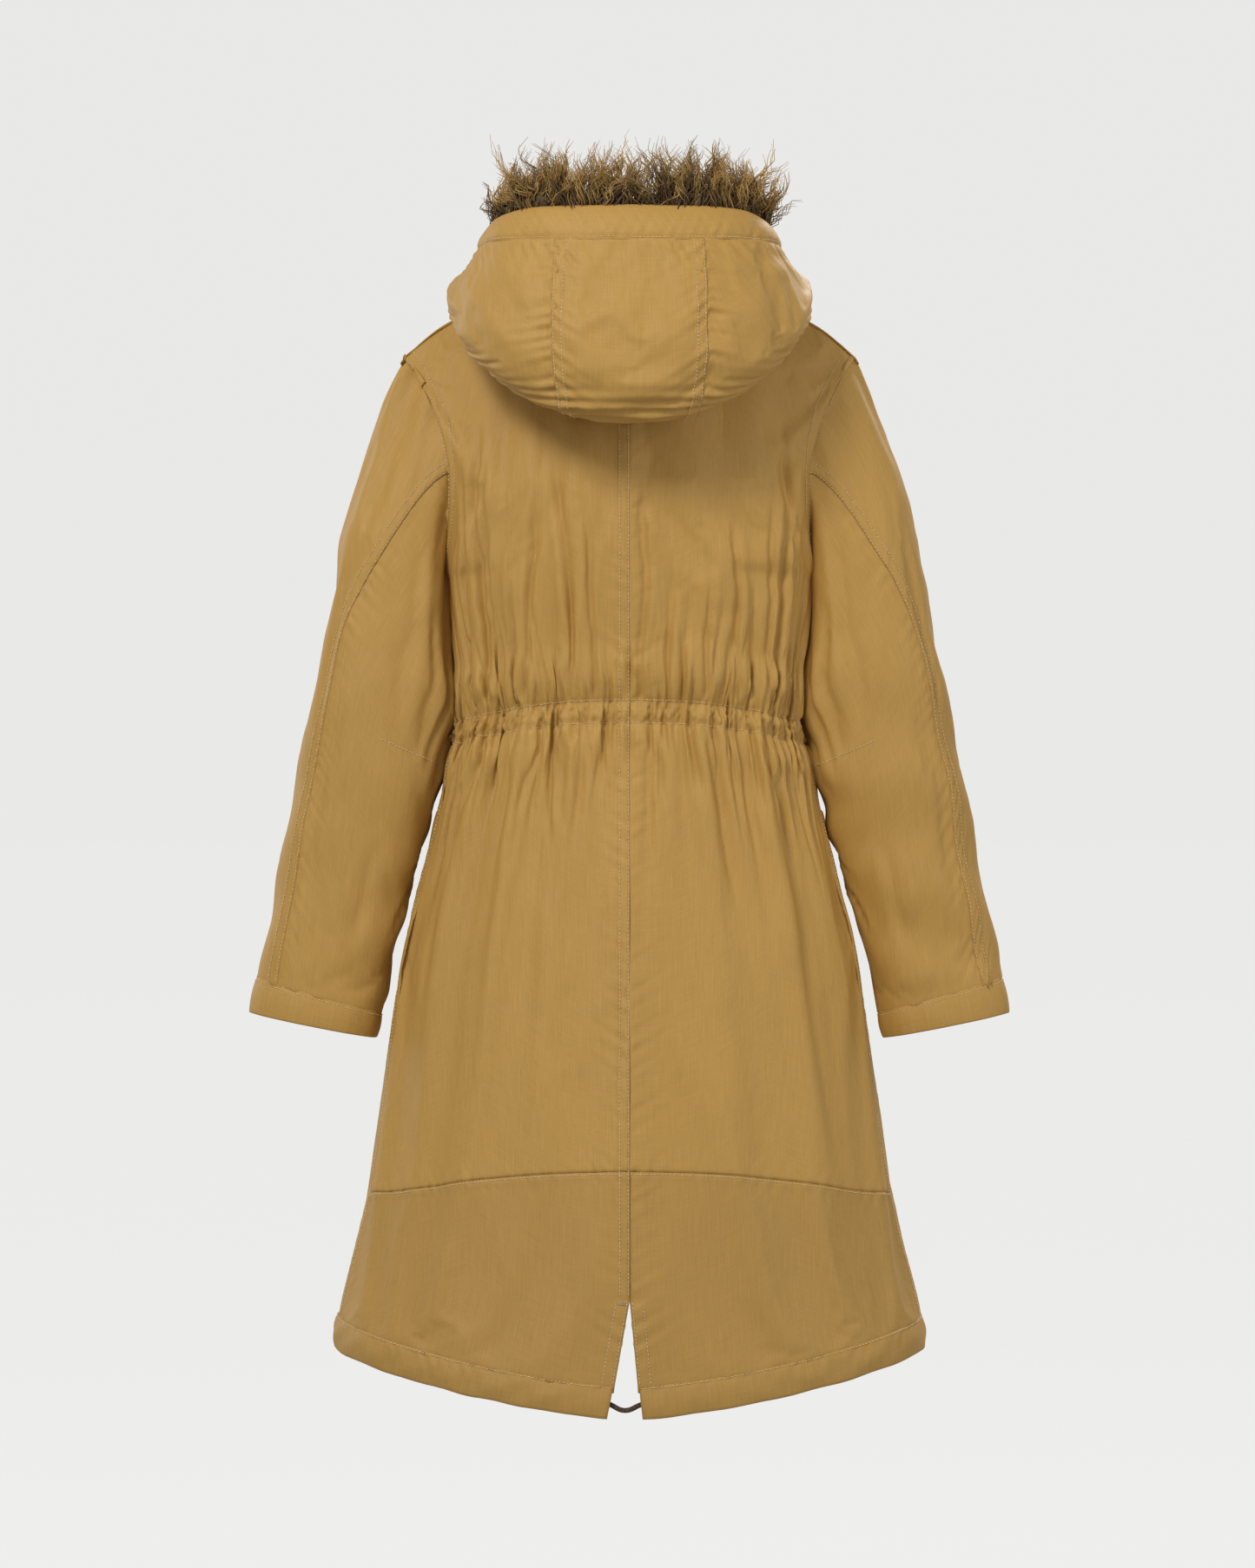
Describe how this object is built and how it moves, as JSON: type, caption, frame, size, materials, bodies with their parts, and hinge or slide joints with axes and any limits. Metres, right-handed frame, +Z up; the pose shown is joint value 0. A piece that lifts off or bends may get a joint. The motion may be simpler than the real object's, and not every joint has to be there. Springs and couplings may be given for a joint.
{
  "type": "hooded fishtail parka",
  "caption": "Long hooded parka with a fishtail back, gathered waist, fur-lined hood lying back, zip and snap flap front and flap pockets.",
  "frame": {"origin": "middle of the neck opening, at the height of the centre back neck seam", "axes": "+Z up, front faces -Y, the wearer's left is +X"},
  "size_m": [0.7138, 0.3928, 1.1529],
  "materials": {
    "shell": "soft slubby poplin",
    "hem": "soft slubby poplin",
    "lining": "plain quilted lining",
    "fur": "long curly pile",
    "metal": "aged satin",
    "tape": "woven tape",
    "cord": "braided",
    "elastic": "woven elastic"
  },
  "bodies": {
    "coat": {"back_panel_left": "shell", "back_panel_right": "shell", "front_panel_left": "shell", "front_panel_right": "shell", "waist_tunnel": "shell", "pocket_left": "shell", "pocket_right": "shell", "neck_band": "shell", "back_hem_panel_left": "hem", "back_hem_panel_right": "hem", "hem_tunnel_left": "hem", "hem_tunnel_right": "hem", "vent_facing_left": "hem", "vent_facing_right": "hem", "back_lining": "lining", "front_lining_left": "lining", "front_lining_right": "lining", "zip_teeth_left": "metal", "zip_teeth_right": "metal", "zip_box": "metal", "snap_stud_1": "metal", "snap_stud_2": "metal", "snap_stud_3": "metal", "snap_stud_4": "metal", "snap_stud_5": "metal", "pocket_snap_stud_left": "metal", "pocket_snap_stud_right": "metal", "zip_tape_left": "tape", "zip_tape_right": "tape", "hanger_loop": "tape", "hem_cord": "cord", "waist_elastic": "elastic"},
    "hood": {"hood_centre_panel": "shell", "hood_side_left": "shell", "hood_side_right": "shell", "hood_rim": "shell", "hood_lining": "lining", "hood_fur": "fur"},
    "sleeve_left": {"upper_sleeve_left": "shell", "under_sleeve_left": "shell", "cuff_left": "shell", "sleeve_lining_left": "lining"},
    "sleeve_right": {"upper_sleeve_right": "shell", "under_sleeve_right": "shell", "cuff_right": "shell", "sleeve_lining_right": "lining"},
    "storm_flap": {"storm_flap": "shell", "snap_cap_1": "metal", "snap_cap_2": "metal", "snap_cap_3": "metal", "snap_cap_4": "metal", "snap_cap_5": "metal"},
    "zip_slider": {"zip_slider": "metal"},
    "zip_pull": {"zip_pull": "metal"},
    "pocket_flap_left": {"pocket_flap_left": "shell", "pocket_snap_cap_left": "metal"},
    "pocket_flap_right": {"pocket_flap_right": "shell", "pocket_snap_cap_right": "metal"}
  },
  "joints": [
    {"name": "hood_raise", "type": "hinge", "parent": "coat", "child": "hood", "pos_m": [0, 0.005, 0.03], "axis": [1, 0, 0], "range_deg": [0, 105]},
    {"name": "sleeve_left_raise", "type": "hinge", "parent": "coat", "child": "sleeve_left", "pos_m": [0.2125, 0, -0.0495], "axis": [0, -1, 0], "range_deg": [0, 60]},
    {"name": "sleeve_right_raise", "type": "hinge", "parent": "coat", "child": "sleeve_right", "pos_m": [-0.2125, 0, -0.0495], "axis": [0, 1, 0], "range_deg": [0, 60]},
    {"name": "storm_flap_open", "type": "hinge", "parent": "coat", "child": "storm_flap", "pos_m": [-0.027, -0.09598, -0.06757], "axis": [0, -0.1074, -0.9942], "range_deg": [0, 135]},
    {"name": "zip_slide", "type": "slide", "parent": "coat", "child": "zip_slider", "axis": [0, -0.1074, -0.9942], "range_m": [0, 0.85]},
    {"name": "zip_pull_swing", "type": "hinge", "parent": "zip_slider", "child": "zip_pull", "pos_m": [0, -0.09263, -0.03474], "axis": [-1, 0, 0], "range_deg": [0, 140]},
    {"name": "pocket_flap_left_lift", "type": "hinge", "parent": "coat", "child": "pocket_flap_left", "pos_m": [0.119, -0.1132, -0.4575], "axis": [-0.8612, -0.4931, 0.123], "range_deg": [0, 110]},
    {"name": "pocket_flap_right_lift", "type": "hinge", "parent": "coat", "child": "pocket_flap_right", "pos_m": [-0.119, -0.1132, -0.4575], "axis": [-0.8612, 0.4931, -0.123], "range_deg": [0, 110]}
  ]
}
